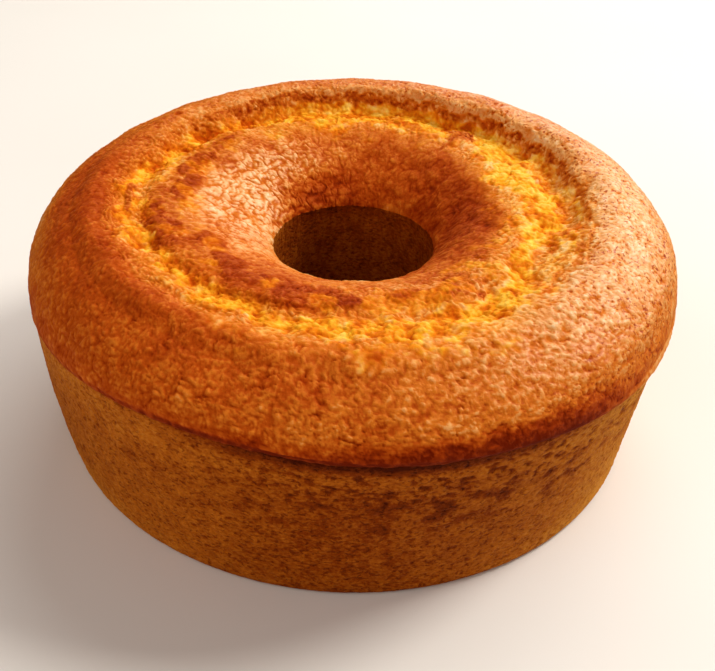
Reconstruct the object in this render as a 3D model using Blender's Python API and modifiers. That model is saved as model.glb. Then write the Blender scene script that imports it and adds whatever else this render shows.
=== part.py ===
"""A ring cake: a tall cake baked in a tube tin, with a domed brown crust that has torn open in a ring.

The tin gave it a tapered outer side, a flat base and a round hole right through. The top climbs out of the hole
to a collar, crosses the open crumb of the tear, steps up to the torn edge of the outer crust and falls away
in a dome to a soft lip over the side.
Everything is in metres, +Z up, with the origin at the middle of the base.
"""

import math

import bpy
import numpy as np
from mathutils import Vector, noise

MM = 0.001

# Driving sizes of what the tin shaped.
BASE_RADIUS = 109.5 * MM
SIDE_TOP_RADIUS = 118.4 * MM
SIDE_HEIGHT = 63 * MM
BASE_EDGE_ROUND = 3 * MM
HOLE_BASE_RADIUS = 33.5 * MM
HOLE_EDGE_ROUND = 2.5 * MM
THROAT_RADIUS = 30 * MM
THROAT_HEIGHT = 69.5 * MM

# Driving sizes of the risen top, as averages round the cake.
LIP_RADIUS = 120 * MM
LIP_HEIGHT = 67 * MM
TEAR_INNER_RADIUS = 68 * MM
TEAR_OUTER_RADIUS = 87 * MM
COLLAR_HEIGHT = 88 * MM
EDGE_HEIGHT = 92 * MM
TEAR_DIP = 2 * MM
CREST_SWELL = 1.4 * MM
CREST_WIDTH = 0.4
FUNNEL_STEEPNESS = 0.7
TOP_RADII = (THROAT_RADIUS, TEAR_INNER_RADIUS, TEAR_OUTER_RADIUS, LIP_RADIUS)
TOP_HEIGHTS = (THROAT_HEIGHT, COLLAR_HEIGHT, EDGE_HEIGHT, LIP_HEIGHT)

# How it differs round the cake, in millimetres, at every 30 degrees from +X anticlockwise.
TEAR_INNER_OFFSETS = (-5, -5, 2, 3, 4, 6, 8, 5, 2, -1, -1, -5)
TEAR_OUTER_OFFSETS = (1, 0, -2, -1, -1, 1, 4, 3, 0, 1, 1, 1)
COLLAR_LIFTS = (0.5, 1, 1, 0.5, 0.5, 0.5, 0, -0.5, -1.5, -2, -1.5, 0)
EDGE_LIFTS = (1.5, 3, 4, 3.5, 2.5, 0.5, -2, -4, -5.5, -6, -5, -2)
LIP_LIFTS = (-3, -1, 0, 0, 0, -1, -2, -2, 2.8, 0.2, -1.7, -4)
LIP_OVERHANGS = (0.6, 0.3, 0.3, 0.2, -0.4, -1.2, -0.6, 0, 0.2, 1.2, 2, 1.2)
SIDE_BULGES = (0, 0, 0, 0, 0.3, 0.8, 1.8, 1.8, 0.8, 0.3, 0, 0)
BASE_REACHES = (0, 0, 0, 0, 0, 0.3, 0.8, 1, 1.5, 2.2, 1.5, 0.4)
# Where the tear's wall starts, as a share of the tear's width: the larger the share, the steeper the wall.
WALL_STARTS = (0.5, 0.6, 0.6, 0.55, 0.5, 0.35, 0.2, 0.1, 0.1, 0.1, 0.1, 0.3)
# How full the outer dome is: at 1 it is a straight slope, at 2 a quarter of an ellipse.
DOME_FULLNESS = (2, 2.1, 2.15, 2.15, 2.15, 2.15, 2.1, 1.7, 1.45, 1.5, 1.7, 1.9)

# The mesh: steps round the cake, and steps along each stretch of its outline.
TURN_STEPS = 116
FUNNEL_STEPS = 9
TEAR_STEPS = 9
DOME_STEPS = 11
LIP_STEPS = 3
SIDE_STEPS = 5
CORNER_STEPS = 2
BASE_STEPS = 2
WALL_STEPS = 4

# Unevenness: how high its bumps are, and how far apart.
CRUST_LUMP_HEIGHT = 0.8 * MM
CRUST_LUMP_SPACING = 16 * MM
CRUMB_LUMP_HEIGHT = 2.2 * MM
CRUMB_LUMP_SPACING = 9 * MM
TEAR_WANDER = 2 * MM
TEAR_WANDER_SPACING = 15 * MM
SIDE_WAVE_HEIGHT = 0.5 * MM
SIDE_WAVE_SPACING = 40 * MM

CRUST_COLOUR = (0.42, 0.13, 0.025, 1)


def smooth_step(value, low, high):
    """0 below low, 1 above high, and an S curve between them."""
    share = np.clip((value - low) / (high - low), 0, 1)
    return share * share * (3 - 2 * share)


def around(angle, values):
    """A smooth closed curve through values that stand at equal steps of the turn, starting at +X."""
    values = np.asarray(values, float)
    place = angle / math.tau % 1 * len(values)
    index = np.floor(place).astype(int)
    share = place - index
    before, here, after, beyond = (values[(index + step) % len(values)] for step in (-1, 0, 1, 2))
    bend = 2 * before - 5 * here + 4 * after - beyond + share * (3 * (here - after) + beyond - before)
    return here + 0.5 * share * (after - before + share * bend)


def bumps(points, spacing, layer):
    """Smooth noise from -1 to 1 at each point. Each layer is a different one."""
    offset = Vector((layer, 2 * layer, 3 * layer))
    return np.array([noise.noise(Vector(point) / spacing + offset) for point in points])


def top_section(place, angle):
    """Radius and height of the top. The place is 0 at the hole's throat, 1 and 2 at the tear's inner and outer
    edges, and 3 at the lip."""
    funnel, tear, dome = (np.clip(place - start, 0, 1) for start in range(3))
    inner_radius = TEAR_INNER_RADIUS + around(angle, TEAR_INNER_OFFSETS) * MM
    outer_radius = TEAR_OUTER_RADIUS + around(angle, TEAR_OUTER_OFFSETS) * MM
    lip_radius = LIP_RADIUS + around(angle, LIP_OVERHANGS) * MM
    radius = THROAT_RADIUS + (inner_radius - THROAT_RADIUS) * funnel
    radius += (outer_radius - inner_radius) * tear + (lip_radius - outer_radius) * dome

    collar_height = COLLAR_HEIGHT + around(angle, COLLAR_LIFTS) * MM
    edge_height = EDGE_HEIGHT + around(angle, EDGE_LIFTS) * MM
    lip_height = LIP_HEIGHT + around(angle, LIP_LIFTS) * MM
    climb = np.sin(math.pi / 2 * funnel) ** FUNNEL_STEEPNESS
    wall_start = around(angle, WALL_STARTS)
    wall = np.clip((tear - wall_start) / (1 - wall_start), 0, 1) ** 2
    dip = np.sin(math.pi * tear) * (1 - wall)
    swell = np.sin(math.pi * np.clip(dome / CREST_WIDTH, 0, 1))
    fullness = around(angle, DOME_FULLNESS)
    fall = 1 - (1 - dome ** fullness) ** (1 / fullness)
    height = THROAT_HEIGHT + (collar_height - THROAT_HEIGHT) * climb
    height += (edge_height - collar_height) * wall - TEAR_DIP * dip
    height += CREST_SWELL * swell - (edge_height - lip_height) * fall
    return radius, height


def arc(centre, radii, start, end, steps):
    """Points of a round corner, from angle start to angle end in degrees, both ends included."""
    angles = np.radians(np.linspace(start, end, steps + 1))
    return [(centre[0] + radii[0] * math.cos(a), centre[1] + radii[1] * math.sin(a)) for a in angles]


def stretch(start, end, steps):
    """Points between start and end, without either of them."""
    return [tuple(point) for point in np.linspace(start, end, steps + 1)[1:-1]]


def average_top():
    """The top's outline as (radius, height) points before it is made uneven."""
    funnel = np.linspace(0, 1, FUNNEL_STEPS + 1) ** 1.3
    tear = np.linspace(0, 1, TEAR_STEPS + 1)[1:] + 1
    dome = np.sin(np.linspace(0, math.pi / 2, DOME_STEPS + 1)[1:]) + 2
    radii = np.interp(np.concatenate([funnel, tear, dome]), range(4), TOP_RADII)
    return list(zip(radii, np.interp(radii, TOP_RADII, TOP_HEIGHTS)))


def outline():
    """The closed outline at +X as (radius, height): over the top, down the side, and back up the hole."""
    top = average_top()
    lip = arc((SIDE_TOP_RADIUS, LIP_HEIGHT), (LIP_RADIUS - SIDE_TOP_RADIUS, LIP_HEIGHT - SIDE_HEIGHT),
              0, -90, LIP_STEPS)[1:]
    taper = math.degrees(math.atan2(SIDE_TOP_RADIUS - BASE_RADIUS, SIDE_HEIGHT))
    base_edge = arc((BASE_RADIUS - BASE_EDGE_ROUND, BASE_EDGE_ROUND), (BASE_EDGE_ROUND, BASE_EDGE_ROUND),
                    -taper, -90, CORNER_STEPS)
    hole_edge = arc((HOLE_BASE_RADIUS + HOLE_EDGE_ROUND, HOLE_EDGE_ROUND), (HOLE_EDGE_ROUND, HOLE_EDGE_ROUND),
                    -90, -180, CORNER_STEPS)
    side = stretch(lip[-1], base_edge[0], SIDE_STEPS)
    base = stretch(base_edge[-1], hole_edge[0], BASE_STEPS)
    wall = stretch(hole_edge[-1], top[0], WALL_STEPS)
    return top + lip + side + base_edge + base + hole_edge + wall


def turned(points):
    """The outline turned once round Z, as a closed mesh."""
    count = len(points)
    ring = bpy.data.meshes.new("outline")
    ring.from_pydata([(radius, 0, height) for radius, height in points],
                     [(i, (i + 1) % count) for i in range(count)], [])
    blank = bpy.data.objects.new("outline", ring)
    bpy.context.scene.collection.objects.link(blank)
    screw = blank.modifiers.new("turn", "SCREW")
    screw.axis = "Z"
    screw.angle = math.tau
    screw.steps = screw.render_steps = TURN_STEPS
    screw.use_merge_vertices = True
    screw.merge_threshold = 0.01 * MM
    evaluated = blank.evaluated_get(bpy.context.evaluated_depsgraph_get())
    mesh = bpy.data.meshes.new_from_object(evaluated)
    bpy.data.objects.remove(blank)
    return mesh


def uneven(points):
    """The turned points moved to where the cake's top, tear, lip and side really lie."""
    turned_radius = np.hypot(points[:, 0], points[:, 1])
    angle = np.arctan2(points[:, 1], points[:, 0])
    turned_height = points[:, 2]

    # The top, with crust lumps all over, larger ones in the open crumb, and a tear that wanders in and out.
    place = np.interp(turned_radius, TOP_RADII, range(4))
    is_top = turned_height > np.interp(turned_radius, TOP_RADII, TOP_HEIGHTS) - 0.1 * MM
    radius, height = top_section(place, angle)
    off_hole = smooth_step(place, 0, 0.6)
    in_tear = smooth_step(place, 0.8, 1.3) * (1 - smooth_step(place, 1.8, 2.1))
    by_tear = smooth_step(place, 0.4, 1.2) * (1 - smooth_step(place, 2, 2.8))
    height += off_hole * bumps(points, CRUST_LUMP_SPACING, 1) * CRUST_LUMP_HEIGHT
    height += in_tear * bumps(points, CRUMB_LUMP_SPACING, 2) * CRUMB_LUMP_HEIGHT
    radius += by_tear * bumps(points * (1, 1, 0), TEAR_WANDER_SPACING, 3) * TEAR_WANDER

    # The side is a little uneven, bulges on one side, and its top follows the lip up and down.
    up_side = np.clip(turned_height / SIDE_HEIGHT, 0, 1)
    outside = smooth_step(turned_radius, TEAR_OUTER_RADIUS, BASE_RADIUS - BASE_EDGE_ROUND)
    lip_share = outside * smooth_step(turned_height, SIDE_HEIGHT, LIP_HEIGHT)
    side_radius = turned_radius + lip_share * around(angle, LIP_OVERHANGS) * MM
    side_radius += outside * np.sin(math.pi * up_side) ** 0.5 * around(angle, SIDE_BULGES) * MM
    side_radius += outside * (1 - up_side) * around(angle, BASE_REACHES) * MM
    side_height = turned_height + outside * up_side ** 4 * around(angle, LIP_LIFTS) * MM

    off_base = smooth_step(turned_height, 0, 2 * BASE_EDGE_ROUND)
    radius = np.where(is_top, radius, side_radius)
    radius += off_base * bumps(points, SIDE_WAVE_SPACING, 4) * SIDE_WAVE_HEIGHT
    height = np.where(is_top, height, side_height)
    moved = np.stack([radius * np.cos(angle), radius * np.sin(angle), height], axis=1)
    moved[:, :2] -= (moved[:, :2].min(axis=0) + moved[:, :2].max(axis=0)) / 2
    return moved


def crust_material():
    material = bpy.data.materials.new("crust")
    material.use_nodes = True
    shader = material.node_tree.nodes["Principled BSDF"]
    shader.inputs["Base Color"].default_value = CRUST_COLOUR
    shader.inputs["Roughness"].default_value = 0.55
    material.diffuse_color = CRUST_COLOUR
    return material


def main():
    for leftover in list(bpy.data.objects):
        bpy.data.objects.remove(leftover)
    collection = bpy.data.collections.new("ring_cake")
    bpy.context.scene.collection.children.link(collection)
    mesh = turned(outline())
    points = np.empty(len(mesh.vertices) * 3)
    mesh.vertices.foreach_get("co", points)
    mesh.vertices.foreach_set("co", uneven(points.reshape(-1, 3)).ravel())
    mesh.materials.append(crust_material())
    mesh.shade_smooth()
    mesh.name = "carrot_cake"
    collection.objects.link(bpy.data.objects.new("carrot_cake", mesh))


main()
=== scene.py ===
"""The looks of a ring cake: crust, open crumb, tin-baked side, floor, lights and camera.

The cake is one closed grid of points round the ring, shown as five bands that share their end rows. The
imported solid's own section gives its form, with a rounder edge to the tear and, at the right, a rim that is
drawn in and a side that flares out to meet it. Relief a few millimetres across is laid on that along its
normals. Metres, +Z up.
"""

import math

import bpy
import numpy as np
from mathutils import Matrix, Vector, noise


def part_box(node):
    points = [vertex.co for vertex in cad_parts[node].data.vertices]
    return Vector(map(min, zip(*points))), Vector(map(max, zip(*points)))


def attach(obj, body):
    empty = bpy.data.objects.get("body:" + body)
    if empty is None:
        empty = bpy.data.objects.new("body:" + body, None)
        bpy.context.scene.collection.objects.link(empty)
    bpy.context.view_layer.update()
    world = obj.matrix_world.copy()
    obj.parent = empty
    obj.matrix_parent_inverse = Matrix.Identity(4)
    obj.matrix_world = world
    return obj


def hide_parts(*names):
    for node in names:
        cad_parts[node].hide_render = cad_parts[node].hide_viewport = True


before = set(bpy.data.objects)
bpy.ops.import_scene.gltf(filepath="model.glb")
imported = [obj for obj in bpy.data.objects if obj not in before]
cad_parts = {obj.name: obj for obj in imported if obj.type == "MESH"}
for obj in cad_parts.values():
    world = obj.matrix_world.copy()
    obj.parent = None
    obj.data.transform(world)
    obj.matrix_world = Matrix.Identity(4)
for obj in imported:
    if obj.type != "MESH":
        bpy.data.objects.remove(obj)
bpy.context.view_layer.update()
MM = 0.001
CAKE_NODE = "carrot_cake"

# ---- the cake's form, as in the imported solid

BASE_RADIUS = 109.5 * MM
SIDE_TOP_RADIUS = 118.4 * MM
SIDE_HEIGHT = 63 * MM
BASE_EDGE_ROUND = 3 * MM
HOLE_BASE_RADIUS = 33.5 * MM
HOLE_EDGE_ROUND = 2.5 * MM
THROAT_RADIUS = 30 * MM
THROAT_HEIGHT = 69.5 * MM

LIP_RADIUS = 120 * MM
LIP_HEIGHT = 67 * MM
TEAR_INNER_RADIUS = 68 * MM
TEAR_OUTER_RADIUS = 87 * MM
COLLAR_HEIGHT = 88 * MM
EDGE_HEIGHT = 92 * MM
TEAR_DIP = 2 * MM
CREST_SWELL = 1.4 * MM
CREST_WIDTH = 0.4
FUNNEL_STEEPNESS = 0.7
TOP_RADII = (THROAT_RADIUS, TEAR_INNER_RADIUS, TEAR_OUTER_RADIUS, LIP_RADIUS)
TOP_HEIGHTS = (THROAT_HEIGHT, COLLAR_HEIGHT, EDGE_HEIGHT, LIP_HEIGHT)

# How it differs round the cake, in millimetres. Twelve values stand every 30 degrees from +X anticlockwise.
TEAR_INNER_OFFSETS = (-5, -5, 2, 3, 4, 6, 8, 5, 2, -1, -1, -5)
TEAR_OUTER_OFFSETS = (1, 0, -2, -1, -1, 1, 4, 3, 0, 1, 1, 1)
COLLAR_LIFTS = (0.5, 1, 1, 0.5, 0.5, 0.5, 0, -0.5, -1.5, -2, -1.5, 0)
EDGE_LIFTS = (1.5, 3, 4, 3.5, 2.5, 0.5, -2, -4, -5.5, -6, -5, -2)
LIP_LIFTS = (-3, -1, 0, 0, 0, -1, -2, -2, 2.8, 0.2, -1.7, -4)
LIP_OVERHANGS = (0.6, 0.3, 0.3, 0.2, -0.4, -1.2, -0.6, 0, 0.2, 1.2, 2, 1.2)
SIDE_BULGES = (0, 0, 0, 0, 0.3, 0.8, 1.8, 1.8, 0.8, 0.3, 0, 0)
BASE_REACHES = (0, 0, 0, 0, 0, 0.3, 0.8, 1, 1.5, 2.2, 1.5, 0.4)
# Where the tear's wall starts, as a share of the tear's width: the larger the share, the steeper the wall.
WALL_STARTS = (0.5, 0.6, 0.6, 0.55, 0.5, 0.35, 0.2, 0.1, 0.1, 0.1, 0.1, 0.3)
# How full the outer dome is: at 1 it is a straight slope, at 2 a quarter of an ellipse.
DOME_FULLNESS = (2, 2.1, 2.15, 2.15, 2.15, 2.15, 2.1, 1.7, 1.45, 1.5, 1.7, 1.9)

CRUST_LUMP_HEIGHT = 0.8 * MM
CRUST_LUMP_SPACING = 16 * MM
CRUMB_LUMP_HEIGHT = 2.2 * MM
CRUMB_LUMP_SPACING = 9 * MM
TEAR_WANDER = 2 * MM
TEAR_WANDER_SPACING = 15 * MM
SIDE_WAVE_HEIGHT = 0.5 * MM
SIDE_WAVE_SPACING = 40 * MM

# ---- where the looks leave that form

# How much rounder the tear's outer edge is, from 0 to 1.
EDGE_ROUNDING = 0.8
# In millimetres: how far the rim is drawn in (below 0, let out) and the side's top flares out to meet it.
RIM_TUCKS = (-0.3, 0, 0, 0, 0, 0, 0, 0, 0, 0, 0.7, 2)
SIDE_FLARES = (1.4, 0.5, 0, 0, 0, 0, 0, 0, 0, 0, 0, 0.8)
# Over which heights they come in, in millimetres over the side's top.
RIM_TUCK_FADE = (0, 4)
SIDE_FLARE_FADE = (-10, 0)

# ---- the fine grid

TURN_STEPS = 1200
FUNNEL_STEPS = 78
TEAR_STEPS = 58
DOME_STEPS = 70
LIP_STEPS = 6
SIDE_STEPS = 76
CORNER_STEPS = 3
BASE_STEPS = 4
WALL_STEPS = 12
# How the funnel's rows crowd at the throat, and how far the dome's follow a sine and even steps.
FUNNEL_CROWDING = 1.1
DOME_SPREAD = (0.55, 0.45)
# Points down to this far under the average top still belong to the top.
TOP_MARGIN = 0.1 * MM
# How many rows each side of the tear's edges round off the kinks there.
KINK_REACHES = (6, 8)

# ---- where the crust is torn
# Places run along the section: 0 at the hole's throat, 1 and 2 at the tear's edges, 3 at the lip. A fade is a
# pair of places, and a span is two fades: something comes in over the first and goes out over the second.

# The open crumb's inner and outer edges as places, at every 15 degrees from +X anticlockwise.
CRUMB_INNER = (0.8, 0.78, 0.82, 0.94, 0.88, 0.82, 0.88, 0.84, 0.9, 1.02, 0.94, 1.0,
               1.25, 1.28, 1.12, 1.02, 1.2, 1.28, 1.28, 1.22, 1.26, 1.1, 0.92, 0.84)
CRUMB_OUTER = (1.8, 1.8, 1.82, 1.85, 1.85, 1.82, 1.76, 1.74, 1.78, 1.9, 1.88, 1.75,
               1.75, 1.75, 1.65, 1.75, 2.0, 2.1, 2.08, 2.15, 2.15, 2.0, 1.78, 1.75)
# How the crumb, and the golden crust next to it, fade there, from those edges.
CRUMB_INNER_FADE = (-0.12, 0.15)
CRUMB_OUTER_FADE = (-0.28, 0.08)
GOLDEN_INNER_FADE = (-0.35, 0.1)
GOLDEN_OUTER_FADE = (-0.1, 0.25)
# How far raggedness of three sizes moves those edges, and how much more it moves the outer one.
RAG_SPACINGS = (14 * MM, 6 * MM, 2.2 * MM)
RAG_REACHES = (0.25, 0.16, 0.14)
OUTER_RAG = 1.6

# Brown crust left standing on the crumb: angle in degrees, place, half its width in degrees, half its length
# as a place, and how dark it is.
CRUST_PATCHES = (
    (-163, 1.02, 13, 0.18, 0.36), (-152, 0.62, 6, 0.12, 0.24), (-136, 0.66, 8, 0.1, 0.2),
    (-127, 0.78, 10, 0.13, 0.2), (-92, 0.97, 6, 0.13, 0.2), (-73, 0.86, 6, 0.1, 0.2),
    (-63, 0.93, 6, 0.13, 0.2), (-54, 1.1, 5, 0.14, 0.14), (172, 0.74, 12, 0.09, 0.34),
    (158, 0.84, 11, 0.08, 0.32), (142, 0.88, 7, 0.07, 0.26), (54, 1.2, 5, 0.4, 0.3),
    (-107, 1.07, 5, 0.06, 0.06), (-178, 1.45, 6, 0.12, 0.08),
)
# Crumb that shows through outside the tear, written the same way.
CRUMB_SPURS = ((-86, 2.15, 4, 0.2, 0), (-117, 2.08, 6, 0.12, 0), (-66, 2.06, 5, 0.1, 0))
# A patch's edge, from its middle at 0 to its outline at 1, and how ragged each kind is.
PATCH_FADE = (0.6, 1.25)
PATCH_RAG = 0.5
SPUR_RAG = 0.6
SPUR_OPENNESS = 0.6

# ---- how dark it is baked, and where light and shade are painted on

# From 0 pale to 1 nearly black. The funnel's left and the outer crust's right are paler partly as painted
# sheen.
THROAT_BAKES = (0.66, 0.68, 0.6, 0.72, 0.8, 0.42, 0.28, 0.34, 0.38, 0.56, 0.67, 0.6)
FUNNEL_BAKES_AND_SHEEN = (0.74, 0.73, 0.64, 0.55, 0.38, 0.25, 0.3, 0.4, 0.5, 0.41, 0.46, 0.64)
COLLAR_BAKES = (0.34, 0.3, 0.36, 0.56, 0.46, 0.44, 0.44, 0.54, 0.64, 0.55, 0.42, 0.44)
WALL_BAKES = (0.26, 0.28, 0.4, 0.36, 0.46, 0.48, 0.66, 0.58, 0.46, 0.44, 0.34, 0.38)
CRUST_BAKES_AND_SHEEN = (0.2, 0.29, 0.35, 0.41, 0.4, 0.5, 0.68, 0.66, 0.62, 0.54, 0.37, 0.24)
SHOULDER_BAKES = (0.27, 0.34, 0.4, 0.27, 0.22, 0.26, 0.36, 0.58, 0.58, 0.52, 0.44, 0.38)
# The place at which each of them holds.
PLACED_BAKES_AND_SHEEN = ((0.0, THROAT_BAKES), (0.4, FUNNEL_BAKES_AND_SHEEN), (0.95, COLLAR_BAKES), (1.8, WALL_BAKES),
                (2.06, CRUST_BAKES_AND_SHEEN), (2.5, CRUST_BAKES_AND_SHEEN), (2.9, SHOULDER_BAKES))
# The darker rim, partly baked darker and partly painted shade where it turns under: where it starts, as a
# place, how ragged that is, and how far it fades in.
RIM_BAKES_AND_SHADE = (0.4, 0.4, 0.4, 0.42, 0.46, 0.55, 0.64, 0.72, 0.76, 0.94, 0.98, 0.55)
RIM_STARTS = (2.92, 2.92, 2.92, 2.92, 2.92, 2.94, 2.95, 2.95, 2.94, 2.91, 2.88, 2.92)
RIM_RAGS = (0.03, 0.02)
RIM_FADE = 0.12
# How much paler the crust is where it meets the crumb, and the darkest that it gets inside the torn edge.
GOLDEN_LIGHTENS = 0.1
INNER_BAKE_LIMIT = 0.74
INNER_END = 1.9
# How uneven the crumb's own shade is.
CRUMB_SHADE = 0.8
CRUMB_SHADE_SPACING = 5 * MM

# The crust inside the tear is mottled with orange and red-brown: where, how strongly and how finely.
MOTTLE_SPAN = ((0.45, 0.75), (1.1, 1.3))
MOTTLE_STRENGTHS = (0.5, 0.35, 0.4, 0.45, 0.5, 0.8, 1, 1, 1, 1, 1, 0.8)
MOTTLE_SPACINGS = (9 * MM, 4 * MM)
MOTTLE_SIZES = (1.1, 0.7)
MOTTLE_DARKENS = 0.3
MOTTLE_OPENNESS = 0.7
MOTTLE_OPEN_FADE = (0, 0.4)

# The side, paler at the right partly as painted light; the dark line under its rim, a painted shadow (paler
# below 0); and how much paler it is low down, partly as painted light bounced up from the floor.
SIDE_BAKES_AND_LIGHT = (0.2, 0.2, 0.3, 0.4, 0.45, 0.45, 0.4, 0.46, 0.52, 0.66, 0.5, 0.22)
RIM_SHADOWS = (0, 0, 0.3, 0.5, 0.5, 0.3, 0.1, -0.2, 0.5, 2.9, 1.8, -0.8)
FOOT_PALENESS = (1, 1, 0.8, 0.6, 0.6, 0.8, 1, 2, 0.5, 0, 0.5, 2.2)
# How marked its dark flecks and blotches are.
SIDE_MARKS = (0.6, 0.5, 0.4, 0.4, 0.4, 0.4, 0.3, 0.2, 0.3, 0.8, 1, 0.9)
FLECK_SHADE = 0.25
BLOTCH_SHADE = 0.3
# Where its shades come in and how strong they are: in millimetres over its top, or as shares of its height.
UNDER_RIM_SPAN = ((-22, -12), (-5, -2))
RIM_SHADOW_FADE = (-6, 0)
RIM_SHADE = 0.2
# The lip's underside is darker: partly its dark crust edge, partly painted shade under the lip.
LIP_FOOT_FADE = (-0.5, 1.2)
LIP_FOOT_CRUST_AND_SHADE = 0.45
BLOTCH_PLACE = 0.64
BLOTCH_SPREAD = 0.14
UPPER_FADE = (0.7, 0.9)
UPPER_PALENESS = 0.08
# Paler low down, partly as painted light bounced up from the floor.
FOOT_FADE = (0, 0.3)
FOOT_PALING = 0.14
# The hole and the base round it, as far out as this radius.
HOLE_BAKE = 0.58
HOLE_LOOK_RADIUS = 60 * MM

# ---- the tear's outer wall

WALL_SPAN = ((1.3, 1.5), (1.93, 2.03))
# How torn it is: this sets its edge, its brown band and the crust beyond.
TORN_EDGE_STRENGTHS = (0.6, 0.9, 1, 1, 0.8, 0.3, 0.1, 0.1, 0.3, 0, 0, 0.15)
# How far the torn edge wanders, as a place, and how far it stands over the crumb.
EDGE_WANDERS = (0.05, 0.06)
EDGE_WANDER_SPACINGS = (4 * MM, 8 * MM)
TORN_EDGE_SPAN = ((1.86, 1.98), (2.0, 2.3))
EDGE_UNEVENNESS = 0.9
TORN_EDGE_RISE = 0.3 * MM
TORN_EDGE_REACH = 0.3 * MM
# How much darker the wall's crust and crumb are, or paler below 0 as painted light on its shaded face, and
# how far the crumb's look reaches over the crust.
WALL_TONES_AND_LIGHT = (-0.03, -0.05, 0.02, 0.06, 0.13, 0.1, 0, 0, 0, 0, 0, 0)
WALL_OPENNESS = 0.9
GOLDEN_OPENNESS = 0.4
# The brown band on it: its middle and half its width as places, its full core as a share of that, and how
# strong, how covering and how dark it is.
BAND_PLACES = (1.82, 1.81, 1.8, 1.82, 1.84, 1.8, 1.8, 1.8, 1.8, 1.8, 1.85, 1.93)
BAND_WIDTHS = (0.09, 0.08, 0.08, 0.09, 0.13, 0.12, 0.1, 0.1, 0.1, 0.1, 0.1, 0.1)
BAND_CORE = 0.45
BAND_STRENGTH = 1.3
BAND_COVER = 0.9
BAND_BAKE = 0.52
# The calmer crust beyond the band: paler and evener, partly as painted light on the edge's shaded face.
BEYOND_FADE = (0.02, 0.08)
CALM_END_FADE = (1.98, 2.1)
CALM_BAKE_AND_LIGHT = 0.27
CALM_HIGH = 0.58
CALM_SHARES = (0.8, 0.5)
# Dark flecks on the wall and the band, their spacing round the ring, and the palest that they get.
TORN_FLECK_SPACING = 1.5 * MM
TORN_FLECK_STRETCH = 2
TORN_FLECK_FLOOR = -0.35
WALL_FLECK_SHADE = 0.3
BAND_FLECK_SHADE = 0.36
# Streaks round the cake in the torn crumb, and an orange tone halfway over it.
STREAK_STRENGTHS = (1, 0.9, 0.5, 0.2, 0.1, 0.1, 0.1, 0.1, 0.1, 0.1, 0.5, 0.9)
STREAK_SPAN = ((0.85, 1.1), (1.95, 2.1))
STREAK_SPACING = 1.6 * MM
STREAK_STRETCH = 6
STREAK_SHADE = 0.4
ORANGE_STRENGTHS = (1, 1, 0.6, 0, 0, 0, 0, 0, 0, 0, 0, 0.4)
ORANGE_SPAN = ((1.2, 1.4), (1.65, 1.8))
ORANGE_SHADE = 0.12

# ---- gloss

# How glossy the funnel and the outer crust are, from 0 to 1.
FUNNEL_GLOSS = (0.1, 0.1, 0.25, 0.5, 1, 1, 1, 0.5, 0.1, 0.05, 0.1, 0.1)
CRUST_GLOSS = (1, 1, 0.9, 0.5, 0.2, 0.1, 0, 0, 0.1, 0.3, 0.5, 0.8)
CRUST_GLOSS_FADE = (1.95, 2.1)
# Gloss comes in with how high a point lies on the relief, and goes out as it is baked darker.
GLOSSY_HIGHS = (0.3, 0.7)
DULL_BAKES = (0.32, 0.5)

# ---- fine relief

COBBLE_SPACING = 3.4 * MM
COBBLE_HEIGHT = 0.6 * MM
PEBBLE_SPACING = 1.7 * MM
PEBBLE_HEIGHT = 0.35 * MM
PIT_SPACING = 2.1 * MM
PIT_DEPTH = 0.4 * MM
WRINKLE_SPACING = 2 * MM
WRINKLE_STRETCH = 2.4
WRINKLE_FADE = (2.45, 2.75)
WRINKLE_SHARE = 0.6
CREASE_SPACING = 4.5 * MM
CREASE_DEPTH = 0.5 * MM
CREASE_WIDTH = 0.15
NET_SPACINGS = (4.2 * MM, 2.6 * MM)
NET_DEPTH = 0.4 * MM
NET_WIDTH = 0.2
FINE_NET_SHARE = 0.7
FUNNEL_GRAIN_SPACING = 1.4 * PEBBLE_SPACING
FUNNEL_GRAIN_HEIGHT = 0.2 * MM
FUNNEL_RISE = 0.5 * MM
CRUMB_SPACINGS = (4.8 * MM, 2.7 * MM, 1.6 * MM)
CRUMB_HEIGHTS = (0.5 * MM, 0.6 * MM, 0.35 * MM)
PATCH_RISE = 0.5 * MM
FLECK_SPACING = 1.6 * MM
FLECK_STRETCH = 2
FLECK_DEPTH = 0.35 * MM
PORE_DEPTH = 0.25 * MM
RIM_WOBBLE = 0.5 * MM
RIM_WOBBLE_FADE = (2.8, 2.97)
# How much of the relief is lost at the lip.
LIP_FADE = (2.9, 3.0)
LIP_RELIEF_LOSS = 0.6
# How far smooth noise pushes each relief about, and the spacing of that noise.
CRUST_WARP = (1.6 * MM, 5 * MM)
FUNNEL_WARP = (1.8 * MM, 4 * MM)
CRUMB_WARP = (1.2 * MM, 5 * MM)
# How strong the cobbles, the pits and the funnel's net are.
COBBLE_STRENGTHS = (0.35, 0.25, 0.25, 0.3, 0.35, 0.4, 0.4, 0.45, 0.65, 0.85, 0.85, 0.55)
PIT_STRENGTHS = (1, 1, 0.8, 0.7, 0.5, 0.3, 0.15, 0.1, 0.1, 0.1, 0.25, 0.8)
NET_STRENGTHS = (0.3, 0.3, 0.35, 0.5, 1, 1, 0.8, 0.5, 0.35, 0.3, 0.3, 0.3)
# Inside the tear the cobbles have one strength.
INSIDE_SPAN = ((0.5, 0.9), (1.95, 2.05))
INSIDE_COBBLES = 0.7
# Where the funnel's net gives way to the collar's lumps, as a place, and where the collar ends.
FUNNEL_ENDS = (0.6, 0.6, 0.6, 0.6, 0.6, 0.55, 0.5, 0.45, 0.42, 0.42, 0.45, 0.55)
FUNNEL_FADE = 0.25
COLLAR_GAP = 0.05
COLLAR_END_FADE = (1.1, 1.3)
# How much of the crumb's relief shows in the crust of the wall and of the collar.
WALL_BREAKING = 0.3
COLLAR_BREAKING = 0.45
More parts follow.
